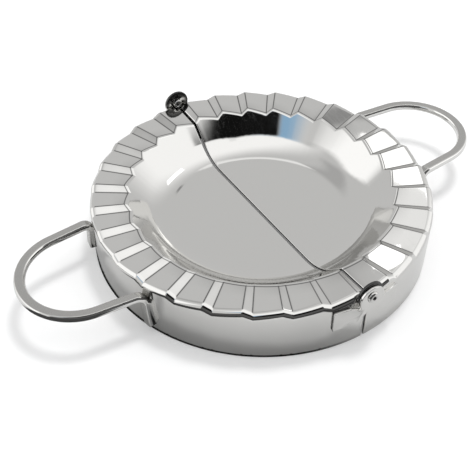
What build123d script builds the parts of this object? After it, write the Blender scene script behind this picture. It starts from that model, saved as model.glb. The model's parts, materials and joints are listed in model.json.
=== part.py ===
"""Empanada press: two pleated half dishes joined by riveted lugs, each with a bent bar handle.

Lengths are millimetres. X runs from handle to handle, Y along the hinge and Z up. The press lies open
and flat on its two cutter walls. The origin is the middle of the ring they make, on the table.
"""

from build123d import *
from math import asin, cos, degrees, pi, radians, sin, sqrt, tan
import os

# Drawn sheet of each half
SHEET = 1.0
WALL_RADIUS = 62.2
RIM_BEND = 2.2
BEND_FLANK = 20
CUT_END = 0.5

# Pleats of the rim: each is a short riser and a long ramp down, dipping a little inwards
PLEAT_COUNT = 15
PLEAT_LOW = 19.8
PLEAT_STEP = 1.45
RISER_SHARE = 0.25
RAMP_STRIPS = 2
RIM_TILT = 3

# Dish inside the rim
DISH_FLOOR = 8.1
DISH_FLOOR_RADIUS = 29.0
DISH_CORNER = 18.0
DISH_SLOPE = 45

# Lugs: straps on the walls that end in round ears about the hinge axis
LUG_SHEET = 1.0
LUG_REACH = 12.9
LUG_FOOT = 9.0
LUG_SHOULDER = 9.5
LUG_CORNER = 0.8
JOGGLE_START = 7.6
JOGGLE_END = 5.4
JOGGLE_LEAD = 0.5
JOGGLE_BEND = 0.8
OUTER_EAR = 4.8
OUTER_EAR_DROP = 0.8
INNER_EAR = 5.0
INNER_EAR_DROP = 0.0

# Rivets of the hinge
SHANK_RADIUS = 1.5
HEAD_RADIUS = 2.1
HEAD_HEIGHT = 0.8
HEAD_BEVEL = 0.35
DIMPLE_RADIUS = 0.9
DIMPLE_DEPTH = 0.5
TAIL_RADIUS = 1.7
TAIL_HEIGHT = 1.0
TAIL_BEVEL = 0.35
TAIL_BORE_RADIUS = 0.95
TAIL_BORE_DEPTH = 1.6

# Running and working clearances
CLOSED_GAP = 0.25
WALL_TO_EAR = 0.15
EAR_TO_EAR = 0.1
SHANK_CLEARANCE = 0.05
TAIL_CLEARANCE = 0.05
TAIL_NOTCH = 0.6

# Handles: flat bar bent to a loop, its arms splayed and folded down into legs that lean on the wall
BAR_WIDTH = 3.9
BAR_THICKNESS = 2.2
BAR_BEVEL = 0.45
BAR_TOP = 17.2
LOOP_RADIUS = 19.25
ARM_STRAIGHT = 15.8
ARM_SPLAY = 5
LEG_LEAN = 11
LEG_BEND = 2.2
LEG_FOOT = 3.5
FOLD_STRIPS = 4

# Length that every cutting solid runs past what it cuts
OVERRUN = 5.0

# Places that follow from the sizes above
PITCH = 180 / PLEAT_COUNT
RIM_RADIUS = WALL_RADIUS - RIM_BEND
PLEAT_HIGH = PLEAT_LOW + PLEAT_STEP
WALL_TOP = PLEAT_LOW - RIM_BEND
AXIS_HEIGHT = PLEAT_LOW + PLEAT_STEP / (1 - RISER_SHARE) / 2 + CLOSED_GAP / 2
INNER_EAR_FACE = WALL_RADIUS + WALL_TO_EAR
OUTER_EAR_FACE = INNER_EAR_FACE + LUG_SHEET + EAR_TO_EAR
RIVET_SEAT = OUTER_EAR_FACE + LUG_SHEET

# Plane square to the hinge axis, facing +Y, and the half turn that makes the left half of the right
ACROSS_HINGE = Plane((0, 0, AXIS_HEIGHT), x_dir=(1, 0, 0), z_dir=(0, 1, 0))
HALF_TURN = Location((0, 0, 0), (0, 0, 180))


def pleat_section(share, top, inset, base):
    """Section under the rim, a share of the pitch along: its top dips inwards and bends down outside."""
    bend, dip, flank = RIM_BEND - inset, radians(RIM_TILT), radians(BEND_FLANK)
    inner, outer = DISH_FLOOR_RADIUS / 2, WALL_RADIUS + SHEET
    with BuildSketch(Plane.XZ.rotated((0, 0, -PITCH * share))) as section:
        with BuildLine():
            brim = CenterArc((RIM_RADIUS, top - RIM_BEND), bend, BEND_FLANK, 90 + RIM_TILT - BEND_FLANK)
            low, high = brim @ 0, brim @ 1
            Polyline(
                low,
                (outer, low.Y - (outer - low.X) / tan(flank)),
                (outer, base),
                (inner, base),
                (inner, high.Y - (high.X - inner) * tan(dip)),
                high,
            )
        make_face()
    return section.sketch


def pleated_block(inset, base):
    """Solid block under the saw-tooth rim, each face an inset inside the sheet's outer one."""
    riser = [pleat_section(0, PLEAT_LOW, inset, base), pleat_section(RISER_SHARE, PLEAT_HIGH, inset, base)]
    ramp = []
    for strip in range(RAMP_STRIPS + 1):
        fallen = strip / RAMP_STRIPS
        share = RISER_SHARE + (1 - RISER_SHARE) * fallen
        ramp.append(pleat_section(share, PLEAT_HIGH - PLEAT_STEP * fallen, inset, base))
    with BuildPart() as pleat:
        loft(riser, ruled=True)
        loft(ramp, ruled=True)

    count = PLEAT_COUNT + 2
    with BuildPart() as block:
        with PolarLocations(0, count, start_angle=90 + PITCH, angular_range=-count * PITCH):
            add(pleat.part)
        with BuildSketch(Plane.XY.offset(base)):
            Circle(DISH_FLOOR_RADIUS)
        extrude(amount=DISH_FLOOR - base)
        with BuildSketch(Plane.XY.offset(base)):
            Circle(WALL_RADIUS - inset)
        extrude(amount=PLEAT_HIGH + OVERRUN - base, mode=Mode.INTERSECT)
    return block.part


def dish_solid(outset):
    """Space inside the dish, or with an outset of one sheet the solid inside its underside."""
    corner, slope = DISH_CORNER + outset, radians(DISH_SLOPE)
    floor, top = DISH_FLOOR - outset, PLEAT_HIGH + OVERRUN
    knee_x = DISH_FLOOR_RADIUS + corner * sin(slope)
    knee_z = floor + corner * (1 - cos(slope))
    top_x = knee_x + (top - knee_z) / tan(slope)
    pull = corner * 4 / 3 * tan(slope / 4)
    with BuildPart() as dish:
        with BuildSketch(Plane.XZ):
            with BuildLine():
                Line((0, floor), (DISH_FLOOR_RADIUS, floor))
                Bezier(
                    (DISH_FLOOR_RADIUS, floor),
                    (DISH_FLOOR_RADIUS + pull, floor),
                    (knee_x - pull * cos(slope), knee_z - pull * sin(slope)),
                    (knee_x, knee_z),
                )
                Polyline((knee_x, knee_z), (top_x, top), (0, top), (0, floor))
            make_face()
        revolve(axis=Axis.Z)
    return dish.part


def lug(ear_face, ear_radius, ear_drop, hole_radius):
    """Strap bent round the wall at its +Y end, then joggled out to a flat ear at the rivet."""
    middle = WALL_RADIUS + LUG_SHEET / 2
    flat = ear_face + LUG_SHEET / 2
    ear_centre = AXIS_HEIGHT - ear_drop
    reach, leave = asin(LUG_REACH / middle), asin(JOGGLE_START / middle)
    lift_off = Vector(middle * sin(leave), middle * cos(leave))
    lead = lift_off + Vector(-cos(leave), sin(leave)) * JOGGLE_LEAD
    with BuildPart() as piece:
        with BuildSketch(Plane.XY.offset(LUG_FOOT)):
            with BuildLine() as path:
                CenterArc((0, 0), middle, 90 - degrees(reach), degrees(reach - leave))
                FilletPolyline(
                    lift_off, lead, (JOGGLE_END, flat), (-ear_radius, flat), radius=JOGGLE_BEND
                )
            trace(path.line, line_width=LUG_SHEET)
        extrude(amount=ear_centre + ear_radius - LUG_FOOT)
        with BuildSketch(Plane.XZ.offset(-RIVET_SEAT)) as side:
            with BuildLine():
                Polyline(
                    (LUG_REACH, LUG_FOOT),
                    (LUG_SHOULDER, LUG_FOOT),
                    (0, ear_centre - ear_radius),
                    (0, WALL_TOP),
                    (LUG_REACH, WALL_TOP),
                    close=True,
                )
            make_face()
            fillet(side.vertices().group_by(Axis.X)[-1], radius=LUG_CORNER)
            with Locations((0, ear_centre)):
                Circle(ear_radius)
        extrude(amount=OVERRUN, mode=Mode.INTERSECT)
        with BuildSketch(ACROSS_HINGE.offset(WALL_RADIUS)):
            Circle(hole_radius)
        extrude(amount=OVERRUN, mode=Mode.SUBTRACT)
    return piece.part


def bar_section(place, outside, along, width):
    """Section of the flat bar at a place: its thickness points outside, and the bar runs along."""
    with BuildSketch(Plane(place, x_dir=outside, z_dir=along)) as section:
        Rectangle(BAR_THICKNESS, width)
        chamfer(section.vertices(), length=BAR_BEVEL)
    return section.sketch


# Each half shell is drawn from one sheet: the pleated block, less the dish's hollow and its own inside
with BuildPart() as inside:
    add(pleated_block(SHEET, -OVERRUN))
    add(dish_solid(SHEET), mode=Mode.SUBTRACT)

with BuildPart() as right_shell:
    add(pleated_block(0, 0))
    add(dish_solid(0), mode=Mode.SUBTRACT)
    add(inside.part, mode=Mode.SUBTRACT)
    split(bisect_by=Plane.YZ.offset(CUT_END), keep=Keep.TOP)
    for end in (-1, 1):
        with BuildSketch(ACROSS_HINGE.offset(end * RIM_RADIUS)):
            Circle(TAIL_RADIUS + TAIL_NOTCH)
        extrude(amount=end * (RIM_BEND + OVERRUN), mode=Mode.SUBTRACT)

with BuildPart() as right_outer_lug:
    add(lug(OUTER_EAR_FACE, OUTER_EAR, OUTER_EAR_DROP, SHANK_RADIUS))

with BuildPart() as right_inner_lug:
    add(lug(INNER_EAR_FACE, INNER_EAR, INNER_EAR_DROP, SHANK_RADIUS + SHANK_CLEARANCE))
    mirror(about=Plane.XZ, mode=Mode.REPLACE)

# Semi-tubular rivet: a dimpled head on the outer ear and a rolled hollow tail inside the inner one
with BuildPart() as far_rivet:
    crown = RIVET_SEAT + HEAD_HEIGHT
    clinch = INNER_EAR_FACE - TAIL_CLEARANCE
    tail_end = clinch - TAIL_HEIGHT
    with BuildSketch(Plane((0, 0, AXIS_HEIGHT), x_dir=(0, 1, 0), z_dir=(1, 0, 0))) as profile:
        with BuildLine():
            Polyline(
                (tail_end, 0),
                (tail_end, TAIL_RADIUS),
                (clinch, TAIL_RADIUS),
                (clinch, SHANK_RADIUS),
                (RIVET_SEAT, SHANK_RADIUS),
                (RIVET_SEAT, HEAD_RADIUS),
                (crown, HEAD_RADIUS),
                (crown, 0),
                close=True,
            )
        make_face()
        ends = profile.vertices().group_by(Axis.X)
        chamfer(ends[-1].sort_by(Axis.Y)[-1], length=HEAD_BEVEL)
        chamfer(ends[0].sort_by(Axis.Y)[-1], length=TAIL_BEVEL)
    revolve(axis=Axis((0, 0, AXIS_HEIGHT), (0, 1, 0)))
    with BuildSketch(ACROSS_HINGE.offset(crown)):
        Circle(DIMPLE_RADIUS)
    extrude(amount=-DIMPLE_DEPTH, mode=Mode.SUBTRACT)
    with BuildSketch(ACROSS_HINGE.offset(tail_end)):
        Circle(TAIL_BORE_RADIUS)
    extrude(amount=TAIL_BORE_DEPTH, mode=Mode.SUBTRACT)

# Leg of the handle: the bar folds down on a line askew to its arm, and is coped and welded to the wall
level = BAR_TOP - BAR_THICKNESS / 2
bend = LEG_BEND + BAR_THICKNESS / 2
splay, lean = radians(ARM_SPLAY), radians(LEG_LEAN)
arm = LOOP_RADIUS * cos(splay) + ARM_STRAIGHT * sin(splay)
leg_middle = arm + (level - LEG_FOOT) / 2 * tan(lean)
corner = Vector(sqrt(WALL_RADIUS**2 - leg_middle**2) + BAR_THICKNESS / 2, -arm, level)
up = Vector(0, 0, 1)
away = Vector(cos(lean - splay), -sin(lean - splay))
fold = Vector(sin(lean - splay), cos(lean - splay))
sections = []
for strip in range(FOLD_STRIPS + 1):
    turned = pi / 2 * strip / FOLD_STRIPS
    place = corner + away * bend * (1 - sin(turned)) - up * bend * (1 - cos(turned))
    place += fold * bend * tan(lean) * (1 - turned)
    outside = up * cos(turned) - away * sin(turned)
    along = -(away * cos(turned) + up * sin(turned)) * cos(lean) - fold * sin(lean)
    sections.append(bar_section(place, outside, along, BAR_WIDTH))
leg_length = (place.Z - LEG_FOOT) / cos(lean)
sections.append(bar_section(place + along * leg_length, outside, along, BAR_WIDTH))

with BuildPart() as leg:
    loft(sections, ruled=True)
    weld = bar_section(place + outside * BAR_THICKNESS / 2, outside, along, BAR_WIDTH - 2 * BAR_BEVEL)
    extrude(weld, amount=leg_length)
    with BuildSketch():
        Circle(WALL_RADIUS)
    extrude(amount=BAR_TOP, mode=Mode.SUBTRACT)

with BuildPart() as right_handle:
    run = Vector(cos(splay), sin(splay))
    near_end = corner + run * bend / cos(lean)
    loop_near = corner + run * ARM_STRAIGHT
    loop_tip = Vector(loop_near.X + LOOP_RADIUS * (1 - sin(splay)), 0, level)
    loop_far = Vector(loop_near.X, -loop_near.Y, level)
    with BuildLine():
        Line(near_end, loop_near)
        ThreePointArc(loop_near, loop_tip, loop_far)
        Line(loop_far, (near_end.X, -near_end.Y, level))
    sweep(bar_section(near_end, up, run, BAR_WIDTH))
    add(leg.part)
    mirror(leg.part, about=Plane.XZ)

# The left half is the same set of pieces turned half a turn about the middle of the ring
with BuildPart() as left_shell:
    with Locations(HALF_TURN):
        add(right_shell.part)

with BuildPart() as left_outer_lug:
    with Locations(HALF_TURN):
        add(right_outer_lug.part)

with BuildPart() as left_inner_lug:
    with Locations(HALF_TURN):
        add(right_inner_lug.part)

with BuildPart() as near_rivet:
    with Locations(HALF_TURN):
        add(far_rivet.part)

with BuildPart() as left_handle:
    with Locations(HALF_TURN):
        add(right_handle.part)

pieces = {
    "left_shell": left_shell,
    "right_shell": right_shell,
    "left_handle": left_handle,
    "right_handle": right_handle,
    "left_outer_lug": left_outer_lug,
    "left_inner_lug": left_inner_lug,
    "right_outer_lug": right_outer_lug,
    "right_inner_lug": right_inner_lug,
    "near_rivet": near_rivet,
    "far_rivet": far_rivet,
}
os.makedirs("parts", exist_ok=True)
for label, piece in pieces.items():
    piece.part.label = label
    export_step(piece.part, f"parts/{label}.step")
    print(label, round(piece.part.volume, 1), len(piece.part.faces()))
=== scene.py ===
# %% [markdown]
# An empanada press cuts out a round, folds it in half and crimps its edge. This one is polished
# stainless steel and lies open and flat: two half dishes with saw-tooth rims, hinged on two rivets,
# each half with a loop of bent flat bar for a handle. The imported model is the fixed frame, and every
# size below is read from it or is a named length of this press.

# %% Load the frame
import json
import math

import bmesh
import bpy
import numpy as np
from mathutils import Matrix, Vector


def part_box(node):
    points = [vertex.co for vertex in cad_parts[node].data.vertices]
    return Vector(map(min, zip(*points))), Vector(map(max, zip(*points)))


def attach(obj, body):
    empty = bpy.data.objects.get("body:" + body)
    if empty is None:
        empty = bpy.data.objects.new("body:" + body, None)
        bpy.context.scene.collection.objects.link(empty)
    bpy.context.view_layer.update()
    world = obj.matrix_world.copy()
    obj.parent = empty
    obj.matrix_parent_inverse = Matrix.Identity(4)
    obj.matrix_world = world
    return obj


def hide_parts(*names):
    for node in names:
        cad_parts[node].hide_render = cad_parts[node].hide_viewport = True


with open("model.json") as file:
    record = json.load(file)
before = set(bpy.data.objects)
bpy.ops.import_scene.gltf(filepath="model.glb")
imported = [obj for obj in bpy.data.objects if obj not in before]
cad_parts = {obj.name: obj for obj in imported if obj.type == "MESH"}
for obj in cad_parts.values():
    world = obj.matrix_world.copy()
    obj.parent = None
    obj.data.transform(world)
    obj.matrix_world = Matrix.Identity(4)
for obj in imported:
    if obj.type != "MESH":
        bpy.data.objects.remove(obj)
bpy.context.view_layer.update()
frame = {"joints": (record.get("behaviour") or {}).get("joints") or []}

# %% [markdown]
# The camera comes first. Its place was worked out from the rivets, the handle tips and the ends of the
# rim: it looks down at 43 degrees from the left front, through a long lens.

# %% Camera
MM = 0.001
AZIMUTH = -32.167
ELEVATION = 43.4
DISTANCE = 316.48 * MM
AIM = Vector((-10.066, 1.82, 0.0)) * MM
LENS = 64.1
SENSOR = 36.0


def towards(azimuth, elevation):
    """Unit vector from the object to a viewer: azimuth 0 is -Y, elevation is above the table."""
    a, e = math.radians(azimuth), math.radians(elevation)
    return Vector((math.sin(a) * math.cos(e), -math.cos(a) * math.cos(e), math.sin(e)))


camera = bpy.data.objects.new("camera", bpy.data.cameras.new("camera"))
bpy.context.collection.objects.link(camera)
camera.data.lens = LENS
camera.data.sensor_width = SENSOR
camera.location = AIM + towards(AZIMUTH, ELEVATION) * DISTANCE
camera.rotation_mode = "QUATERNION"
camera.rotation_quaternion = (-towards(AZIMUTH, ELEVATION)).to_track_quat("-Z", "Y")
bpy.context.scene.camera = camera
print("camera at", [round(x / MM, 1) for x in camera.location], "mm")

# %% [markdown]
# Every piece here is a surface worked out with numpy. Blender's cylinders and curves could start some
# of them, but a formula is exact, and a changed length changes every point that follows from it. A grid
# of points becomes a mesh by joining each point to its neighbours, and its columns can close into a
# ring. Points that fall together are merged, which closes the poles. Numbers that belong to a point,
# such as how much painted shade darkens the steel there, are stored beside it as marks, and the finishes
# read them by name.

# %% From a grid of points to a mesh
MERGE = 0.002 * MM


def grid_faces(rows, columns, ring=False):
    """Corners of every quad of a grid: point (row, column) has the number row * columns + column. In a
    ring the last column joins the first."""
    row = np.arange(rows - 1)[:, None]
    column = np.arange(columns if ring else columns - 1)[None, :]
    here, beside = row * columns + column, row * columns + (column + 1) % columns
    return np.stack([here, beside, beside + columns, here + columns], axis=-1).reshape(-1, 4)


def merged(points, faces):
    """Points that coincide become one, and faces lose repeated corners. Also gives the kept numbers."""
    keys = np.round(points / MERGE).astype(np.int64)
    _, first, name = np.unique(keys, axis=0, return_index=True, return_inverse=True)
    faces = name.reshape(-1)[faces].tolist()
    keep = [[c for c, before in zip(face, face[-1:] + face[:-1]) if c != before] for face in faces]
    return points[first], [face for face in keep if len(set(face)) > 2], first


def piece(name, points, faces, **marks):
    """An object from a grid of points of shape (rows, columns, 3) and its faces. A mark is a grid of
    numbers, one for each point."""
    spots, faces, kept = merged(points.reshape(-1, 3), faces)
    mesh = bpy.data.meshes.new(name)
    mesh.from_pydata(spots.tolist(), [], faces)
    mesh.validate()
    thing = bpy.data.objects.new(name, mesh)
    bpy.context.collection.objects.link(thing)
    for label, values in marks.items():
        values = np.broadcast_to(values, points.shape[:2]).reshape(-1)[kept]
        layer = mesh.attributes.new(label, "FLOAT", "POINT")
        layer.data.foreach_set("value", np.ascontiguousarray(values, dtype=np.float32))
    print(name, len(spots), "points", len(faces), "faces")
    return thing


def ring_piece(name, points, **marks):
    """An object from a grid whose columns close into a ring."""
    return piece(name, points, grid_faces(*points.shape[:2], ring=True), **marks)


# %% [markdown]
# Each piece of the right half is used again on the left half, turned half a turn. A closed mesh gets
# its faces turned outwards, smooth shading, and a sharp edge wherever two faces meet at a large angle.

# %% Turning and smoothing
MIRROR = np.array([1.0, -1.0, 1.0])
SHARP = 50
RIVET_SHARP = 60


def turned(points):
    """The same points half a turn about the middle of the ring, which makes the left half."""
    return points * np.array([-1.0, -1.0, 1.0])


def outward(thing):
    """Turn every face of a closed mesh outwards."""
    work = bmesh.new()
    work.from_mesh(thing.data)
    bmesh.ops.recalc_face_normals(work, faces=work.faces)
    work.to_mesh(thing.data)
    work.free()


def smooth(thing, sharp):
    """Smooth shading with sharp creases, and normals that keep the large faces flat."""
    thing.data.shade_smooth()
    thing.data.set_sharp_from_angle(angle=math.radians(sharp))
    even = thing.modifiers.new("even", "WEIGHTED_NORMAL")
    even.keep_sharp = True


# %% [markdown]
# Each half is one stamping: a flat-bottomed dish whose wall rises at 45 degrees to a rounded lip, a
# narrow rim stamped into fifteen pleats, a bend and a plain cutter wall that stands on the table. The
# rim could be modelled face by face, but the saw-tooth has a simple rule, so the whole sheet is worked
# out as a profile that is carried round the ring while the height of its rim follows the pleats.

# %% Sizes of the sheet
shell_low, shell_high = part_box("right_shell")
WALL_RADIUS = shell_high.x
PLEAT_HIGH = shell_high.z
CUT = shell_low.x  # half of the gap between the two halves
SHEET = 1.0 * MM  # thickness of the steel
PLEAT_STEP = 1.45 * MM
PLEAT_LOW = PLEAT_HIGH - PLEAT_STEP
RIM_BEND = 2.2 * MM
RIM_RADIUS = WALL_RADIUS - RIM_BEND
RIM_TILT = math.radians(3)
DISH_FLOOR = 8.1 * MM
DISH_FLOOR_RADIUS = 29.0 * MM
DISH_CORNER = 18.0 * MM
DISH_SLOPE = math.radians(45)
LIP = 1.4 * MM
EDGE = 0.35 * MM  # rounding of the sheet along the cut
FOOT = 0.3 * MM  # rounding of the wall where it stands on the table
print("wall radius", round(WALL_RADIUS / MM, 2), "rim", round(PLEAT_LOW / MM, 2), round(PLEAT_HIGH / MM, 2))

# %% The saw-tooth rim
PLEAT_COUNT = 15
PITCH = 180.0 / PLEAT_COUNT
RISER_SHARE = 0.25
RISER = PITCH * RISER_SHARE
CREASE = 0.28  # half the width of a rounded crease, in degrees
CREASE_SHARES = np.array([-1.5, -1.0, -0.6, -0.25, 0.0, 0.25, 0.6, 1.0, 1.5])
RAMP_SHARES = np.array([0.15, 0.35, 0.55, 0.75, 0.88])
LAST_ANGLE = 88.4  # the columns past it round the edge along the cut


def eased(x, width):
    """A corner rounded by a parabola: 0 before it, x after it, and (x + width)^2 / 4 width between."""
    return np.where(x < -width, 0.0, np.where(x > width, x, (x + width) ** 2 / (4 * width)))


def rim_height(angle):
    """Height of the rim at an angle in degrees: up a short riser, then down a long ramp, every pitch."""
    along = (90.0 - angle) % PITCH
    up, down = PLEAT_STEP / RISER, PLEAT_STEP / (PITCH - RISER)
    turns = eased(along, CREASE) - eased(along - RISER, CREASE) + eased(along - PITCH, CREASE)
    return PLEAT_LOW - down * along + (up + down) * turns


def rim_angles():
    """Angles of the columns: close together at each valley and ridge, and a few along each ramp."""
    crease = CREASE * CREASE_SHARES
    ramp = RISER + (PITCH - RISER) * RAMP_SHARES
    along = np.concatenate([crease, [RISER / 2], RISER + crease, ramp])
    starts = np.arange(PLEAT_COUNT + 1)[:, None] * PITCH
    angles = np.unique(np.round(90.0 - (starts + along).ravel(), 6))
    return angles[np.abs(angles) < LAST_ANGLE]


print("columns", rim_angles().size)

# %% The profile of the sheet
CORNER_ROWS = 14
LIP_ROWS = 8
BEND_ROWS = 12
FOOT_ROWS = 5
SLOPE_SHARES = (0.05, 0.35, 0.65, 0.95)
RIM_SHARES = (0.012, 0.024, 0.036, 0.05, 0.065, 0.5, 0.94)
WALL_SHARES = (0.05, 0.3, 0.6, 0.9)


def arc(middle_r, middle_z, radius, start, stop, rows):
    """Radius and height along an arc from start to stop degrees, one column for each given radius."""
    turn = np.radians(np.linspace(start, stop, rows))[:, None]
    return middle_r + radius * np.cos(turn), middle_z + radius * np.sin(turn)


def between(before, after, shares):
    """Rows at the given shares of the straight way from the end of one part to the start of the next."""
    share = np.array(shares)[:, None]
    return [start[-1] + (stop[0] - start[-1]) * share for start, stop in zip(before, after)]


def sheet_profile(top, depth, side):
    """Radius and height of one side of the sheet for each column: floor, corner, 45 degree wall, lip,
    rim, bend and cutter wall, each a depth below the upper side. The lip's centre lies one lip radius
    below both the rim line and the wall line."""
    tilt = RIM_TILT + math.pi / 2
    knee = DISH_FLOOR_RADIUS + DISH_CORNER * math.sin(DISH_SLOPE)
    fall = DISH_FLOOR + DISH_CORNER * (1 - math.cos(DISH_SLOPE)) - knee
    bend_z = top - RIM_BEND
    reach = math.cos(tilt) * RIM_RADIUS + math.sin(tilt) * bend_z + RIM_BEND - LIP
    slope = fall - LIP * math.sqrt(2)
    lip_r = (reach - math.sin(tilt) * slope) / (math.cos(tilt) + math.sin(tilt))
    foot_r = WALL_RADIUS - depth - side * FOOT

    steep, level = math.degrees(DISH_SLOPE), math.degrees(tilt)
    floor = 0 * depth[None, :], DISH_FLOOR - depth[None, :]
    corner_z = DISH_FLOOR + DISH_CORNER
    corner = arc(DISH_FLOOR_RADIUS, corner_z, DISH_CORNER + depth, -90, steep - 90, CORNER_ROWS)
    lip = arc(lip_r, lip_r + slope, LIP - depth, 180 - steep, level, LIP_ROWS)
    bend = arc(RIM_RADIUS, bend_z, RIM_BEND - depth, level, 0, BEND_ROWS)
    foot = arc(foot_r, FOOT, FOOT, 0, -90, FOOT_ROWS)
    foot = foot_r + side * (foot[0] - foot_r), foot[1] + 0 * depth
    parts = [floor, corner, between(corner, lip, SLOPE_SHARES), lip, between(lip, bend, RIM_SHARES), bend]
    parts += [between(bend, foot, WALL_SHARES), foot]
    return [np.concatenate(rows) for rows in zip(*parts)]


# %% The two sides of a half
EDGE_COLUMNS = 5


def half_shell():
    """The sheet's two sides as one grid. Its first and last columns round the edge along the hinge cut:
    they stand a little less than one edge radius out and sink towards the middle of the sheet."""
    turn = np.radians(np.linspace(0, 90, EDGE_COLUMNS))
    out, sink = EDGE * (1 - np.sin(turn)), EDGE * (1 - np.cos(turn))
    angles = rim_angles()
    ends = np.degrees(np.arccos((CUT + out) / RIM_RADIUS))
    angle = np.concatenate([-ends[::-1], angles, ends])
    depth = np.concatenate([sink[::-1], 0 * angles, sink])
    cut_x = np.concatenate([CUT + out[::-1], 0 * angles + CUT + EDGE, CUT + out])
    at_end = np.abs(angle) > LAST_ANGLE
    top = rim_height(angle)
    sides = []
    for side, deep in ((1, depth), (-1, SHEET - depth)):
        r, z = sheet_profile(top, deep, side)
        x = np.where(at_end, cut_x, np.maximum(r * np.cos(np.radians(angle)), cut_x))
        far = np.sqrt(np.maximum(r ** 2 - x ** 2, 0.0)) * np.sign(angle)
        y = np.where(at_end, far, r * np.sin(np.radians(angle)))
        sides.append(np.stack([x, y, z], axis=-1))
    return np.concatenate([sides[0], sides[1][::-1]], axis=0)


def shell_faces(rows, columns):
    """Along the profile, the upper side runs on round the foot into the underside. Across it, the ends of
    the two sides face each other over the thickness of the sheet, and a strip of quads joins them."""
    row = np.arange(rows // 2 - 1)
    strips = []
    for column, flip in ((0, False), (columns - 1, True)):
        above, below = row * columns + column, (rows - 1 - row) * columns + column
        strip = [above, above + columns, below - columns, below]
        strips.append(np.stack(strip[::-1] if flip else strip, axis=-1))
    return np.concatenate([grid_faces(rows, columns), *strips])


# %% [markdown]
# On the real rim a fine dark reflection runs along every crease and just outside the lip. Here it is
# painted shade: a dark line in the steel's colour. An image could paint them, but each line lies where the
# pleats' own rule has a corner, so the distance to that corner gives its darkness, and the points carry
# it as a mark.

# %% The two shells
LINE = 0.21 * MM  # half the width of a dark line
LIP_LINE = 0.4 * MM  # from the end of the lip to its dark line
LIP_END = CORNER_ROWS + len(SLOPE_SHARES) + LIP_ROWS  # the lip's last row


def rim_lines(points):
    """1 along each valley and ridge and just outside the lip, on the upper side of the rim, and 0 a
    little away from them: e to the minus square of the distance over the width of a line."""
    radius = np.hypot(points[..., 0], points[..., 1])
    lip_radius = radius[LIP_END][None, :]
    along = (90.0 - np.degrees(np.arctan2(points[..., 1], points[..., 0]))) % PITCH
    nearest = np.minimum(np.abs(along - RISER), np.minimum(along, PITCH - along))
    lines = np.exp(-(np.radians(nearest) * radius / LINE) ** 2)
    lines = np.maximum(lines, np.exp(-((radius - lip_radius - LIP_LINE) / LINE) ** 2))
    upper = np.arange(points.shape[0])[:, None] < points.shape[0] // 2
    return np.where(upper & (radius > lip_radius) & (radius < RIM_RADIUS + LINE), lines, 0.0)


shell_points = half_shell()
shell_quads = shell_faces(*shell_points.shape[:2])
# Painted shade: dark lines along the rim's creases and just outside its lip.
shell_lines = rim_lines(shell_points)
right_sheet = piece("right_sheet", shell_points, shell_quads, line=shell_lines)
left_sheet = piece("left_sheet", turned(shell_points), shell_quads, line=shell_lines)

# %% [markdown]
# The rolled tail of each rivet stands where the rim would be, so the stamping has a round notch at
# each end of the cut. A boolean with a plain cylinder along the hinge axis is the shortest way to it.

# %% Notches for the rivet tails
AXIS_HEIGHT = frame["joints"][0]["pos_m"][2]
TAIL_RADIUS = 1.7 * MM
NOTCH_GAP = 0.6 * MM
NOTCH = TAIL_RADIUS + NOTCH_GAP
ROUND_COLUMNS = 64


def ring_points(radius, along):
    """Circles about the hinge axis: one row for each radius and place along Y."""
    turn = np.linspace(0, 2 * math.pi, ROUND_COLUMNS, endpoint=False)[None, :]
    radius, along = np.asarray(radius)[:, None], np.asarray(along)[:, None]
    x, z = radius * np.cos(turn), AXIS_HEIGHT + radius * np.sin(turn)
    return np.stack([x, along + 0 * turn, z], axis=-1)


def cut_round(thing, radius, start, stop):
    """Take a round hole about the hinge axis out of a mesh, from y = start to y = stop."""
    plug = ring_piece("plug", ring_points([0, radius, radius, 0], [start, start, stop, stop]))
    outward(plug)
    cut = thing.modifiers.new("cut", "BOOLEAN")
    cut.operation, cut.object, cut.solver = "DIFFERENCE", plug, "EXACT"
    shaped = thing.evaluated_get(bpy.context.evaluated_depsgraph_get())
    mesh = bpy.data.meshes.new_from_object(shaped)
    thing.modifiers.clear()
    thing.data = mesh
    bpy.data.objects.remove(plug)


for sheet in (right_sheet, left_sheet):
    outward(sheet)
    for end in (-1, 1):
        cut_round(sheet, NOTCH, end * RIM_RADIUS, end * (WALL_RADIUS + RIM_BEND))
    smooth(sheet, SHARP)
    print(sheet.name, len(sheet.data.polygons), "faces")

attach(right_sheet, "right_half")
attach(left_sheet, "left_half")
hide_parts("right_shell")
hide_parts("left_shell")

# %% [markdown]
# A lug is a strap spot-welded round the cutter wall. Past the end of the wall it steps outwards and
# ends in a round ear for the rivet. Seen from the side its outline is a strap and a circle together,
# and both can be seen whole from one point inside, the hub, so rings about the hub fill the outline.

# %% Outline of a lug
LUG_FOOT = 9.0 * MM
LUG_SHOULDER = 9.5 * MM
LUG_TOP = PLEAT_LOW - RIM_BEND
LUG_HUB_X = 2.5 * MM
LUG_HUB_Z = 16.8 * MM
STRAP_CORNER = 0.5 * MM
EAR_CORNER = 0.3 * MM
FAR_OFF = 1.0
NOT_FACING = 1e-9


def soft_max(a, b, width):
    """The larger of two lengths, with the corner where they cross rounded over a width."""
    return (a + b + np.sqrt((a - b) ** 2 + width ** 2)) / 2


def soft_min(a, b, width):
    """The smaller of two lengths, with the corner where they cross rounded over a width."""
    return -soft_max(-a, -b, width)


def edge_distance(turn, start, stop):
    """How far a line through two points is from the hub in each direction: its distance along its own
    normal over the share of that normal in the direction. Directions that face away from it see it far
    off."""
    normal_x, normal_z = stop[1] - start[1], start[0] - stop[0]
    gap = normal_x * (start[0] - LUG_HUB_X) + normal_z * (start[1] - LUG_HUB_Z)
    facing = normal_x * np.cos(turn) + normal_z * np.sin(turn)
    return np.where(facing > NOT_FACING, gap / np.maximum(facing, NOT_FACING), FAR_OFF)


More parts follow.
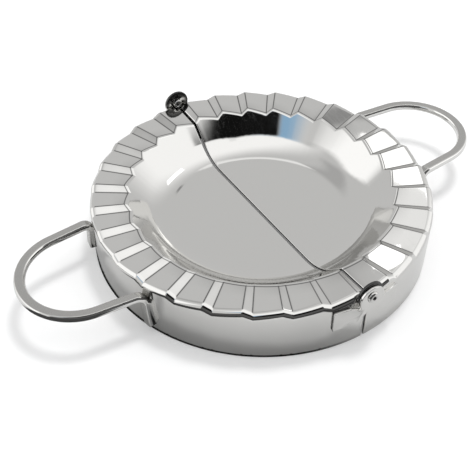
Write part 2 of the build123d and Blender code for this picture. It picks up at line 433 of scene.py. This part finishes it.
def lug_outline(turn, ear, ear_z, reach):
    """Distance of the outline from the hub: the farther of the ear's circle and the strap's sides."""
    across, up = -LUG_HUB_X, ear_z - LUG_HUB_Z
    along = across * np.cos(turn) + up * np.sin(turn)
    circle = along + np.sqrt(along ** 2 - across ** 2 - up ** 2 + ear ** 2)
    corners = [(reach, LUG_TOP), (reach, LUG_FOOT), (LUG_SHOULDER, LUG_FOOT)]
    corners += [(0.0, ear_z - ear), (0.0, LUG_TOP)]
    strap = np.full_like(turn, FAR_OFF)
    for start, stop in zip(corners, corners[1:] + corners[:1]):
        strap = soft_min(strap, edge_distance(turn, stop, start), STRAP_CORNER)
    return soft_max(circle, strap, EAR_CORNER)


# %% Surface of a lug
LUG_SHEET = 1.0 * MM
LUG_EDGE = 0.22 * MM
JOGGLE_START = 7.9 * MM
JOGGLE_END = 5.0 * MM
LUG_COLUMNS = 160
LUG_EDGE_ROWS = 9
RING_SHARES = (0.0, 0.25, 0.5, 0.75, 0.93)
SLOPE_STEP = 0.35 * MM


def lug_points(ear, ear_z, ear_face, reach):
    """The lug at the +Y end: rings from the hub to the rounded edge on the outer face, then back to the
    hub on the inner face. The middle of the sheet follows the wall's circle, then steps out to the ear."""
    turn = np.linspace(0, 2 * math.pi, LUG_COLUMNS, endpoint=False)[None, :]
    inset = lug_outline(turn, ear, ear_z, reach) - LUG_EDGE
    round_edge = np.radians(np.linspace(90, -90, LUG_EDGE_ROWS))[:, None]
    rings = [inset * share for share in RING_SHARES]
    rings = np.concatenate([*rings, inset + LUG_EDGE * np.cos(round_edge), *rings[::-1]])

    rise = np.sin(round_edge[:, 0])
    face = np.full(len(RING_SHARES), LUG_SHEET / 2)
    level = np.where(rise > 0, 1, -1) * (LUG_SHEET / 2 - LUG_EDGE) + LUG_EDGE * rise
    level = np.concatenate([face, level, -face])[:, None]

    x = LUG_HUB_X + rings * np.cos(turn)
    z = LUG_HUB_Z + rings * np.sin(turn)
    middle, ear_y = WALL_RADIUS + LUG_SHEET / 2, ear_face + LUG_SHEET / 2
    wall = np.sqrt(middle ** 2 - x ** 2)
    step = np.clip((x - JOGGLE_END) / (JOGGLE_START - JOGGLE_END), 0, 1)
    step = step * step * (3 - 2 * step)
    y = ear_y + (wall - ear_y) * step
    slope = (np.sqrt(middle ** 2 - (x + SLOPE_STEP) ** 2) - wall) / SLOPE_STEP
    lean = np.arctan(slope * step)
    return np.stack([x - level * np.sin(lean), y + level * np.cos(lean), z], axis=-1)


# %% The four lugs
# Widths of painted shade on the lugs: a shadow along the wall, and a dark band round an inner ear.
WALL_SHADOW = 0.45 * MM
EAR_SHADE_BAND = 1.3 * MM


def painted_shade_places(node, points, ear, ear_z):
    """1 where shade is painted: on an outer lug a painted shadow along its seam with the wall, on an inner
    one a painted dark band round the upper half of its ear."""
    x, y, z = points[..., 0], points[..., 1], points[..., 2]
    if node == "outer_lug":
        shaded = np.hypot(x, y) < WALL_RADIUS + WALL_SHADOW
    else:
        shaded = (np.abs(x) < ear) & (z > ear_z - MM) & (np.hypot(x, z - ear_z) > ear - EAR_SHADE_BAND)
    return shaded.astype(float)


def add_lug(name, node, body, mirrored, half):
    """A lug made to its CAD node's box: mirrored for the -Y end, turned for the left half."""
    low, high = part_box(f"right_{node}")
    ear = -low.x
    face = max(abs(low.y), abs(high.y)) - LUG_SHEET
    points = lug_points(ear, high.z - ear, face, high.x)
    if mirrored:
        points = points * MIRROR
    if half == "left":
        points = turned(points)
    lug = ring_piece(name, points, line=painted_shade_places(node, points, ear, high.z - ear))
    outward(lug)
    smooth(lug, SHARP)
    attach(lug, body)
    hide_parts(f"{half}_{node}")
    return lug


lugs = [
    add_lug("right_outer_strap", "outer_lug", "right_half", False, "right"),
    add_lug("right_inner_strap", "inner_lug", "right_half", True, "right"),
    add_lug("left_outer_strap", "outer_lug", "left_half", False, "left"),
    add_lug("left_inner_strap", "inner_lug", "left_half", True, "left"),
]

# %% [markdown]
# The rivets are semi-tubular: a low domed head with a dimple outside, and a hollow tail that is rolled
# over inside. A rivet is round about the hinge, so its profile is spun about that axis.

# %% Rivets
rivet_low, rivet_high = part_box("far_rivet")
SHANK_RADIUS = 1.5 * MM
HEAD_RADIUS = 2.1 * MM
HEAD_HEIGHT = 0.8 * MM
DOME_SHARE = 0.8
DIMPLE_RADIUS = 1.05 * MM
DIMPLE_DEPTH = 0.55 * MM
PAINTED_SHADE_RADIUS = 0.75 * DIMPLE_RADIUS
TAIL_HEIGHT = 1.0 * MM
BORE_RADIUS = 0.95 * MM
BORE_DEPTH = 1.6 * MM
DOME_ROWS = 9
ROLL_ROWS = 13


def rivet_profile(crown, tail_end):
    """Place along Y and radius, from the dimple's middle over the domed head, down the shank and round
    the rolled tail into its bore. Each rounding is part of a sine or of a circle."""
    share = np.linspace(0, 1, DOME_ROWS)
    dimple = crown - DIMPLE_DEPTH * np.cos(share * math.pi / 2) ** 2, DIMPLE_RADIUS * share
    dome_turn = share[1:] * math.pi / 2
    dome = (
        crown - HEAD_HEIGHT * DOME_SHARE * (1 - np.cos(dome_turn)),
        DIMPLE_RADIUS + (HEAD_RADIUS - DIMPLE_RADIUS) * np.sin(dome_turn),
    )
    seat = crown - HEAD_HEIGHT
    clinch = tail_end + TAIL_HEIGHT
    straight = [seat, seat, clinch, clinch], [HEAD_RADIUS, SHANK_RADIUS, SHANK_RADIUS, TAIL_RADIUS]
    roll = (TAIL_RADIUS - BORE_RADIUS) / 2
    roll_turn = np.linspace(0, math.pi, ROLL_ROWS)
    tail = tail_end + roll * (1 - np.sin(roll_turn)), TAIL_RADIUS - roll * (1 - np.cos(roll_turn))
    bore = [tail_end + BORE_DEPTH, tail_end + BORE_DEPTH], [BORE_RADIUS, 0.0]
    return [np.concatenate(parts) for parts in zip(dimple, dome, straight, tail, bore)]


def add_rivet(name, node, body, turn_it):
    """A rivet spun about the hinge axis at the +Y end, or turned to the other end."""
    along, radius = rivet_profile(rivet_high.y, rivet_low.y)
    points = ring_points(radius, along)
    # Painted shade where the radius is small: the middle of the dimple and the bottom of the bore.
    hollow = (radius < PAINTED_SHADE_RADIUS).astype(float)[:, None]
    rivet = ring_piece(name, turned(points) if turn_it else points, line=hollow)
    outward(rivet)
    smooth(rivet, RIVET_SHARP)
    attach(rivet, body)
    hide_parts(node)
    return rivet


rivets = [
    add_rivet("far_pin", "far_rivet", "right_half", False),
    add_rivet("near_pin", "near_rivet", "left_half", True),
]

# %% [markdown]
# Each handle is one length of flat bar. It is bent to a loop whose arms splay a little, and each end is
# folded down on a line askew to its arm, so the leg leans outwards along the round wall it is welded to.
# A curve with a bevel could make it, but then the bar would twist freely, so its section is carried
# along the path by formula, with a direction for its width and one for its outer face at every place.

# %% Path of a handle
handle_low, handle_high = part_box("right_handle")
BAR_WIDTH = 3.9 * MM
BAR_THICKNESS = 2.2 * MM
LOOP_RADIUS = 19.25 * MM
ARM_STRAIGHT = 15.8 * MM
ARM_SPLAY = math.radians(5)
LEG_LEAN = math.radians(11)
FOLD_RADIUS = 2.2 * MM  # on the inside of the fold
LEG_BEND = FOLD_RADIUS + BAR_THICKNESS / 2
LEG_END = 3.5 * MM
LEG_ROWS = 9
FOLD_ROWS = 15
ARM_ROWS = 5
LOOP_ROWS = 97
LEG_SHARES = (1.0, 0.06)  # the rows of a leg and of an arm keep a little off the fold and the loop
ARM_SHARES = (0.05, 0.95)

# The bar's near arm lies along run. It is folded on a line along fold, which is level and askew to the
# arm, and away is level and square to that line.
UP = np.array([0.0, 0.0, 1.0])
askew = LEG_LEAN - ARM_SPLAY
run = np.array([math.cos(ARM_SPLAY), math.sin(ARM_SPLAY), 0.0])
away = np.array([math.cos(askew), -math.sin(askew), 0.0])
fold = np.array([math.sin(askew), math.cos(askew), 0.0])
loop_middle = np.array([handle_high.x - LOOP_RADIUS - BAR_WIDTH / 2, 0.0, handle_high.z - BAR_THICKNESS / 2])
loop_near = loop_middle + LOOP_RADIUS * np.array([math.sin(ARM_SPLAY), -math.cos(ARM_SPLAY), 0.0])
fold_place = loop_near - run * ARM_STRAIGHT


def fold_rows(turn):
    """Place, direction and outer face of the bar in its fold: turn 0 is the arm, a right angle the leg."""
    turn = turn[:, None]
    place = fold_place + away * LEG_BEND * (1 - np.sin(turn)) - UP * LEG_BEND * (1 - np.cos(turn))
    place = place + fold * LEG_BEND * math.tan(LEG_LEAN) * (1 - turn)
    along = -(away * np.cos(turn) + UP * np.sin(turn)) * math.cos(LEG_LEAN) - fold * math.sin(LEG_LEAN)
    return place, along, UP * np.cos(turn) - away * np.sin(turn)


def handle_rows():
    """Place, width direction and outer face of the bar, from one foot round the loop to the other."""
    down = np.full(LEG_ROWS, math.pi / 2)
    turn = np.concatenate([down, np.linspace(math.pi / 2, 0, FOLD_ROWS), np.zeros(ARM_ROWS)])
    place, along, outside = fold_rows(turn)
    leg = (place[0, 2] - LEG_END) / math.cos(LEG_LEAN)
    place[:LEG_ROWS] += along[:LEG_ROWS] * (leg * np.linspace(*LEG_SHARES, LEG_ROWS))[:, None]
    arm = np.linalg.norm(loop_near - place[-1])
    place[-ARM_ROWS:] -= along[-ARM_ROWS:] * (arm * np.linspace(*ARM_SHARES, ARM_ROWS))[:, None]
    width = np.cross(outside, along)
    swing = np.linspace(ARM_SPLAY - math.pi / 2, math.pi / 2 - ARM_SPLAY, LOOP_ROWS)[:, None]
    radial = np.concatenate([np.cos(swing), np.sin(swing), 0 * swing], axis=1)
    places = np.concatenate([place, loop_middle + LOOP_RADIUS * radial, place[::-1] * MIRROR])
    widths = np.concatenate([width, radial, width[::-1] * MIRROR])
    return places, widths, np.concatenate([outside, 0 * radial + UP, outside[::-1] * MIRROR])


# %% Section and surface of a handle
OUTER_ROUND = np.array([0.9, 1.75]) * MM
INNER_ROUND = np.array([0.4, 0.4]) * MM
END_ROUND = 0.9 * INNER_ROUND[0]
END_TURN = np.radians([0, 30, 60, 90])
CORNER_POINTS = 9
COPE = 0.1 * MM
COPE_TOP = 0.6 * MM
COPE_FADE = 0.8 * MM


def bar_section(inset):
    """Across and out of the bar, one row for each inset. The corners of its outer face are worn to a
    quarter of an ellipse, the others are a quarter of a small circle."""
    turn = np.radians(np.linspace(0, 90, CORNER_POINTS))[None, :] + np.arange(4)[:, None] * math.pi / 2
    side, lift = np.array([1, -1, -1, 1])[:, None], np.array([1, 1, -1, -1])[:, None]
    round_x = np.where(lift > 0, OUTER_ROUND[0], INNER_ROUND[0])
    round_z = np.where(lift > 0, OUTER_ROUND[1], INNER_ROUND[1])
    inset = np.asarray(inset)[:, None, None]
    across = side * (BAR_WIDTH / 2 - round_x) + (round_x - inset) * np.cos(turn)
    out = lift * (BAR_THICKNESS / 2 - round_z) + (round_z - inset) * np.sin(turn)
    return across.reshape(len(inset), -1), out.reshape(len(inset), -1)


def with_ends(rows):
    """The rows with the first and the last repeated, once for each step of the rounded ends."""
    counts = [END_TURN.size, *[1] * (len(rows) - 2), END_TURN.size]
    return np.repeat(rows, counts, axis=0)


def coped(spots, out, places):
    """The face of a leg that looks at the wall, drawn on to the wall's circle along the way inwards: the
    distance is the nearer root of a line's meeting with a circle."""
    inwards = -away * np.where(places[:, 1:2] > 0, MIRROR, 1.0)
    inwards = np.broadcast_to(inwards[:, None], spots.shape)
    lean = (spots * inwards)[..., :2].sum(axis=-1)
    flat = (spots[..., :2] ** 2).sum(axis=-1) - (WALL_RADIUS - COPE) ** 2
    gap = -lean - np.sqrt(np.maximum(lean ** 2 - flat, 0.0))
    fold_foot = handle_high.z - LEG_BEND - BAR_THICKNESS / 2
    on_leg = np.clip((fold_foot + COPE_TOP - places[:, 2:3]) / COPE_FADE, 0, 1)
    pull = np.where(out > 0, np.maximum(gap, 0.0), 0.0) * on_leg
    return spots + inwards * pull[..., None]


def handle_points():
    """The section carried along the path: place + width * across + outer face * out. Each end is rounded
    off in a few rows and closed in a point, and each leg is coped to the wall."""
    places, widths, outsides = handle_rows()
    up_leg = (places[1] - places[0]) / np.linalg.norm(places[1] - places[0])
    first = places[:1] + up_leg * (END_ROUND * (1 - np.cos(END_TURN)))[:, None]
    places = np.concatenate([first, places[1:-1], (first * MIRROR)[::-1]])
    end = END_ROUND * (1 - np.sin(END_TURN))
    inset = np.concatenate([end, np.zeros(len(places) - 2 * end.size), end[::-1]])
    across, out = bar_section(inset)
    spots = places[:, None] + with_ends(widths)[:, None] * across[:, :, None]
    spots = coped(spots + with_ends(outsides)[:, None] * out[:, :, None], out, places)
    caps = [row.mean(axis=1, keepdims=True) + 0 * row for row in (spots[:1], spots[-1:])]
    return np.concatenate([caps[0], spots, caps[1]])


# %% The two handles
FLAT_DEPTH = 0.2 * MM


def add_handle(name, node, body, turn_it):
    """A handle in its node's place, or turned for the left half. A mark tells its flats."""
    points = handle_points()
    flat = np.abs(bar_section(np.zeros(1))[1]) > BAR_THICKNESS / 2 - FLAT_DEPTH
    handle = ring_piece(name, turned(points) if turn_it else points, flat=flat.astype(float))
    outward(handle)
    smooth(handle, SHARP)
    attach(handle, body)
    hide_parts(node)
    return handle


handles = [
    add_handle("right_bar", "right_handle", "right_half", False),
    add_handle("left_bar", "left_handle", "left_half", True),
]

# %% [markdown]
# Shader maths reads best as maths. A small class wraps one socket and gives it Python's operators:
# each operator adds one Math node. Every other kind of node comes from a single method.

# %% Shader maths
WHITE = (1.0, 1.0, 1.0, 1.0)


class Wire:
    """One output socket. Arithmetic on it adds Math nodes beside it."""

    def __init__(self, sheet, socket):
        self.sheet = sheet
        self.socket = socket

    def maths(self, operation, *values):
        """One Math node."""
        return self.sheet.add("ShaderNodeMath", {"operation": operation}, *values)

    def __add__(self, other):
        return self.maths("ADD", self, other)

    def __sub__(self, other):
        return self.maths("SUBTRACT", self, other)

    def __rsub__(self, other):
        return self.maths("SUBTRACT", other, self)

    def __mul__(self, other):
        return self.maths("MULTIPLY", self, other)

    def __truediv__(self, other):
        return self.maths("DIVIDE", self, other)

    def __rtruediv__(self, other):
        return self.maths("DIVIDE", other, self)

    __radd__ = __add__
    __rmul__ = __mul__

    def larger(self, other):
        """The larger of this and another."""
        return self.maths("MAXIMUM", self, other)

    def step(self, start, stop):
        """0 below start and 1 above stop, eased between them. With stop below start it falls."""
        eased_step = {"interpolation_type": "SMOOTHSTEP"}
        return self.sheet.add("ShaderNodeMapRange", eased_step, self, start, stop, 0.0, 1.0)

    def band(self, start, full, fading, stop):
        """1 from full to fading, eased down to 0 at start and at stop."""
        return self.step(start, full) * self.step(stop, fading)


class Sheet:
    """A node tree that nodes are added to by type, settings and the values or links of their sockets."""

    def __init__(self, tree):
        self.tree = tree

    def node(self, kind, settings=None, *values, **named):
        """Add a node. Settings come first, then values by order, then values by name with spaces as _."""
        node = self.tree.nodes.new(kind)
        for name, value in (settings or {}).items():
            setattr(node, name, value)
        open_sockets = [socket for socket in node.inputs if socket.enabled]
        filled = list(zip(open_sockets, values))
        filled += [(node.inputs[name.replace("_", " ")], value) for name, value in named.items()]
        for socket, value in filled:
            if value is None:
                continue
            if isinstance(value, Wire):
                self.tree.links.new(value.socket, socket)
            else:
                socket.default_value = value
        return node

    def add(self, kind, settings=None, *values, out=0, **named):
        """Add a node and give back one of its outputs."""
        node = self.node(kind, settings, *values, **named)
        return Wire(self, node.outputs[out])

    def blend(self, factor, first, second):
        """The first colour where the factor is 0, and the second where it is 1."""
        return self.add("ShaderNodeMix", {"data_type": "RGBA"}, Factor=factor, out=2, A=first, B=second)

    def axes(self, vector):
        """The x, y and z of a vector."""
        parts = self.node("ShaderNodeSeparateXYZ", None, vector)
        return [Wire(self, output) for output in parts.outputs]


# %% [markdown]
# The steel is one alloy with three finishes. The stamping and the lugs are mirror polished, the flats
# of the handles are brushed along the press, and the rivets are plain bright steel. Polished steel is
# told from a perfect mirror by slight waviness from the press, by faint wiping marks that change its
# roughness, and by the soft way it blurs what is far from it.

# %% Bare steel
# Colours of the same steel, by the work that was done on it.
POLISHED = (0.64, 0.635, 0.62, 1.0)
SATIN = (0.47, 0.465, 0.45, 1.0)
DRAWN = (0.72, 0.715, 0.70, 1.0)
TURNED = (0.6, 0.595, 0.58, 1.0)
# Colour of the painted shade that the line mark gives, how much of it, and the roughness added there.
PAINTED_SHADE = (0.04, 0.04, 0.04, 1.0)
PAINTED_SHADE_SHARE = 0.95
SHADE_LINE_ROUGHNESS = 0.2


def new_finish(name):
    """An empty node tree for a material, with its output node."""
    material = bpy.data.materials.new(name)
    material.use_nodes = True
    material.node_tree.nodes.clear()
    sheet = Sheet(material.node_tree)
    return material, sheet, sheet.node("ShaderNodeOutputMaterial")


def noise(sheet, scale, detail):
    """Noise by place on the piece, with its own number of grains in a metre along each axis."""
    place = sheet.add("ShaderNodeTexCoord", out="Object")
    place = sheet.add("ShaderNodeMapping", {"vector_type": "POINT"}, place, Scale=scale)
    return sheet.add("ShaderNodeTexNoise", None, place, Scale=1.0, Detail=detail)


def marked(sheet, name):
    """The number that the points of a piece carry under a name."""
    return sheet.add("ShaderNodeAttribute", {"attribute_name": name}, out=2)


def steel(sheet, output, colour, roughness, normal):
    """Bare steel. Painted shade darkens it where the line mark is 1, along creases and in hollows, and it is
    rougher there.
    """
    line = marked(sheet, "line")
    shade = sheet.blend(line * PAINTED_SHADE_SHARE, colour, PAINTED_SHADE)
    rough = roughness + line * SHADE_LINE_ROUGHNESS
    shader = sheet.add("ShaderNodeBsdfPrincipled", Base_Color=shade, Metallic=1.0, Roughness=rough,
                       Normal=normal)
    sheet.tree.links.new(shader.socket, output.inputs["Surface"])


# %% Finishes
# Grains of each noise in a metre, along each axis.
WAVE_GRAIN = (60, 60, 60)
WIPE_GRAIN = (900, 120, 300)
BRUSH_GRAIN = (250, 9000, 9000)
PIT_GRAIN = (1500, 1500, 1500)
# Roughness of each finish, and below it what its marks add.
POLISH_ROUGHNESS = 0.04
WIPE_ROUGHNESS = 0.04
SIDE_ROUGHNESS = 0.07
FLAT_ROUGHNESS = 0.1
BRUSH_ROUGHNESS = 0.1
RIVET_ROUGHNESS = 0.1
PIT_ROUGHNESS = 0.12
# Height and strength of each relief.
WAVE_HEIGHT = 0.6 * MM
WAVE_STRENGTH = 0.06
BRUSH_HEIGHT = 0.1 * MM
BRUSH_STRENGTH = 0.2


def polished_steel():
    """Mirror polish: low roughness with wiping marks, and a long shallow waviness in the normal."""
    material, sheet, output = new_finish("polished_steel")
    wave = noise(sheet, WAVE_GRAIN, 2.0)
    wipe = noise(sheet, WIPE_GRAIN, 4.0)
    roughness = POLISH_ROUGHNESS + wipe.step(0.35, 0.75) * WIPE_ROUGHNESS
    normal = sheet.add("ShaderNodeBump", None, Strength=WAVE_STRENGTH, Distance=WAVE_HEIGHT, Height=wave)
    steel(sheet, output, POLISHED, roughness, normal)
    return material


def brushed_steel():
    """Darker satin flats with fine lines along X, and sides as bright as they were drawn."""
    material, sheet, output = new_finish("brushed_steel")
    flat = marked(sheet, "flat").step(0.3, 1.0)
    lines = noise(sheet, BRUSH_GRAIN, 3.0)
    roughness = SIDE_ROUGHNESS + flat * (FLAT_ROUGHNESS + lines * BRUSH_ROUGHNESS)
    strength = flat * BRUSH_STRENGTH
    normal = sheet.add("ShaderNodeBump", None, Strength=strength, Distance=BRUSH_HEIGHT, Height=lines)
    steel(sheet, output, sheet.blend(flat, DRAWN, SATIN), roughness, normal)
    return material


def rivet_steel():
    """Bright turned steel, a little rougher than the polish."""
    material, sheet, output = new_finish("rivet_steel")
    pits = noise(sheet, PIT_GRAIN, 3.0)
    steel(sheet, output, TURNED, RIVET_ROUGHNESS + pits * PIT_ROUGHNESS, None)
    return material


polish, brush, bright = polished_steel(), brushed_steel(), rivet_steel()
for things, finish in (((right_sheet, left_sheet, *lugs), polish), (handles, brush), (rivets, bright)):
    for thing in things:
        thing.data.materials.clear()
        thing.data.materials.append(finish)
print("finishes", [m.name for m in bpy.data.materials])

# %% [markdown]
# Polished steel shows the room more than itself, so the studio is half of the finish. The reflections
# in the photograph tell what stood where: a grey room that is brighter towards the front, a white box
# low on the left, a white panel high behind on the right, and a dark camera side with a sharp upper
# edge and a bluish fringe. Each could be a card or a lamp, but a room that is one function of direction
# is quicker to tune: x runs to the right of the press, y to its back and z up.

# %% Studio
ROOM = 0.76
FRONT_LIGHT = 0.64
HIGH_SHADE = 0.25
LEFT_SHADE = 0.38
WHITE_BOX = 1.5
WHITE_PANEL = 1.2
PANEL_GAP = 0.5
FRINGE = 0.85
FRINGE_BLUE = (0.42, 0.70, 1.0, 1.0)
DARK_SIDE = 0.008
DARK_SIDE_LOW = 0.12


def over(under, level, mask):
    """The level where the mask is 1, and what lies under it where the mask is 0."""
    return under + (level - under) * mask


def room_light(sheet):
    """How bright the room is in each direction, and how blue. Each part of it is a product of steps on
    x, y and z, and on x over y, which runs along the wall behind."""
    x, y, z = sheet.axes(sheet.add("ShaderNodeTexCoord", out="Generated"))
    across = x / y.larger(0.05)
    grey = ROOM + FRONT_LIGHT * y.step(0.38, -0.15)
    high_back = z.band(0.70, 0.79, 0.84, 0.91) * across.step(0.55, 0.2)
    high_back = high_back * x.step(-0.45, -0.25) * y.step(0.2, 0.4)
    grey = grey * (1.0 - HIGH_SHADE * high_back)
    left_front = x.step(-0.35, -0.6) * z.step(0.88, 0.80) * y.step(0.2, 0.0)
    grey = grey * (1.0 - LEFT_SHADE * left_front)
    grey = over(grey, WHITE_BOX, x.step(-0.34, -0.46) * z.step(0.77, 0.61) * y.step(-0.05, 0.05))
    grey = over(grey, WHITE_PANEL, across.band(0.3, 0.4, 1.6, 2.0) * z.band(0.825, 0.85, 0.87, 0.91))
    under_panel = across.band(1.25, 1.35, 1.55, 1.65) * z.band(0.705, 0.725, 0.745, 0.765)
    grey = grey * (1.0 - PANEL_GAP * under_panel)

    reach = 0.3 + 0.4 * z.step(0.35, 0.65)
    towards_camera = (0.0 - y) - (1.1 * x).larger(-1.0 * x * reach)
    below_edge = (z + 0.35 * x.larger(0.0)).step(0.86, 0.82)
    dark = towards_camera.step(-0.03, 0.06) * below_edge
    blue = towards_camera.step(-0.40, -0.08) * below_edge * (1.0 - dark)
    blue = blue * z.step(0.70, 0.76) * x.step(-0.1, -0.3)
    grey = over(grey, FRINGE, blue)
    grey = over(grey, DARK_SIDE + DARK_SIDE_LOW * z.step(0.58, 0.42), dark)
    return grey, blue


def studio():
    """Light of the room by direction for everything but the camera, which sees plain white."""
    world = bpy.data.worlds.new("studio")
    bpy.context.scene.world = world
    world.use_nodes = True
    world.node_tree.nodes.clear()
    sheet = Sheet(world.node_tree)
    grey, blue = room_light(sheet)
    seen = sheet.add("ShaderNodeLightPath", out="Is Camera Ray")
    room = sheet.add("ShaderNodeBackground", None, sheet.blend(blue, WHITE, FRINGE_BLUE), grey)
    plain = sheet.add("ShaderNodeBackground", None, WHITE, 1.0)
    shown = sheet.add("ShaderNodeMixShader", None, seen, room, plain)
    output = sheet.node("ShaderNodeOutputWorld")
    sheet.tree.links.new(shown.socket, output.inputs["Surface"])


studio()
bpy.context.scene.view_settings.view_transform = "Standard"
print("world", bpy.context.scene.world.name, len(bpy.context.scene.world.node_tree.nodes), "nodes")

# %% [markdown]
# The table is plain white to the camera, with a faint glow that lifts it to the white of the photograph
# and leaves only the soft shadows under the key light. The steel shows it darker where the room was
# dark: under the wall on the left, beside the left handle and far in front. Dark cards laid there would
# be seen, so the table has painted shade that every ray but the camera's meets: a painted shadow round
# and under the wall, and painted dark patches beside the left handle and far in front.

# %% Table
TABLE_SPAN = 4.0
TABLE_WHITE = (0.8, 0.8, 0.8, 1.0)
TABLE_DARK = (0.02, 0.02, 0.02, 1.0)
GLOW = 0.19
FRONT_DARK = 0.97
BESIDE_DARK = 0.95


def painted_shade_patches(sheet, place):
    """Where painted shade darkens the table in the steel: a painted shadow round the wall on the left and a
    thin painted contact shadow under it, and painted dark patches far in front and beside the left handle.
    They overlap, and the darkest counts."""
    radius = sheet.add("ShaderNodeVectorMath", {"operation": "LENGTH"}, place, out="Value")
    x, y, _ = sheet.axes(place)
    left = x.step(8 * MM, -22 * MM)
    near_wall = radius.step(WALL_RADIUS + 22 * MM, WALL_RADIUS - 4 * MM) * left
    near_wall = near_wall * (0.1 + 0.4 * y.step(10 * MM, -35 * MM))
    under_wall = radius.step(WALL_RADIUS + 1.3 * MM, WALL_RADIUS + 0.6 * MM) * left
    forwards = (0.0 - y) - (1.1 * x).larger(-0.7 * x)
    in_front = forwards.step(65 * MM, 100 * MM) * FRONT_DARK
    beside = x.step(-58 * MM, -70 * MM) * y.step(14 * MM, 4 * MM)
    beside = beside * radius.step(WALL_RADIUS + 17 * MM, WALL_RADIUS + 23 * MM) * BESIDE_DARK
    return near_wall.larger(in_front).larger(beside).larger(under_wall)


def white_table():
    """White and glowing to the camera, with painted shade to every other ray."""
    material, sheet, output = new_finish("white_table")
    seen = sheet.add("ShaderNodeLightPath", out="Is Camera Ray")
    dark = painted_shade_patches(sheet, sheet.add("ShaderNodeTexCoord", out="Object")) * (1.0 - seen)
    grey = sheet.blend(dark, TABLE_WHITE, TABLE_DARK)
    shader = sheet.add("ShaderNodeBsdfPrincipled", Base_Color=grey, Roughness=0.9, Specular_IOR_Level=0.0,
                       Emission_Color=WHITE, Emission_Strength=seen * GLOW)
    sheet.tree.links.new(shader.socket, output.inputs["Surface"])
    return material


table_points = np.array([[[-1, -1, 0], [1, -1, 0]], [[-1, 1, 0], [1, 1, 0]]]) * TABLE_SPAN
floor = piece("floor", table_points, grid_faces(2, 2))
floor.data.materials.append(white_table())

# %% [markdown]
# One broad key light stands almost overhead and a little to the right, and throws the soft shadows to
# the left of the handles. It is kept out of reflections, where it would be a round white spot in the
# dish.

# %% Key light
KEY_DIRECTION = Vector((0.27, 0.10, 0.95)).normalized()
KEY_DISTANCE = 1.5
KEY_SIZE = 0.3
KEY_POWER = 7.0


def lamp(name, shape, place, facing, size, energy):
    """An area lamp at a place, turned to shine back along the direction that leads to it. Its size is its
    width and height."""
    light = bpy.data.objects.new(name, bpy.data.lights.new(name, "AREA"))
    bpy.context.collection.objects.link(light)
    light.location = place
    light.rotation_mode = "QUATERNION"
    light.rotation_quaternion = facing.to_track_quat("Z", "Y")
    light.data.shape = shape
    light.data.size, light.data.size_y = size
    light.data.energy = energy
    return light


key = lamp("key", "DISK", KEY_DIRECTION * KEY_DISTANCE, KEY_DIRECTION, (KEY_SIZE, KEY_SIZE), KEY_POWER)
key.visible_glossy = False

# %% [markdown]
# The whitest ramps of the rim show two small cards held close above the press. A card in the world
# would also show as a bright crescent in the dish, but a near one is seen only from its own ramps. So
# each is a small lamp that only reflections see.

# %% White cards
RAMP_RADIUS = 55 * MM


def card(name, ramp_angle, azimuth, elevation, distance, size, brightness):
    """A white card where the ramp at one angle of the rim mirrors the camera: from the ramp, at a distance
    towards an azimuth and an elevation. Its power is 4 times its brightness times its area."""
    turn = math.radians(ramp_angle)
    ramp = Vector((RAMP_RADIUS * math.cos(turn), RAMP_RADIUS * math.sin(turn), PLEAT_HIGH))
    facing = towards(azimuth, elevation)
    power = brightness * 4 * size[0] * size[1]
    light = lamp(name, "RECTANGLE", ramp + facing * distance, facing, size, power)
    light.visible_camera = False
    light.visible_diffuse = False
    return light


card("wide_card", -13.5, 128, 56, 150 * MM, (22 * MM, 42 * MM), 0.8)
card("small_card", -73.5, 153, 54, 30 * MM, (14 * MM, 8 * MM), 1.2)
print("lamps", [light.name for light in bpy.data.lights])
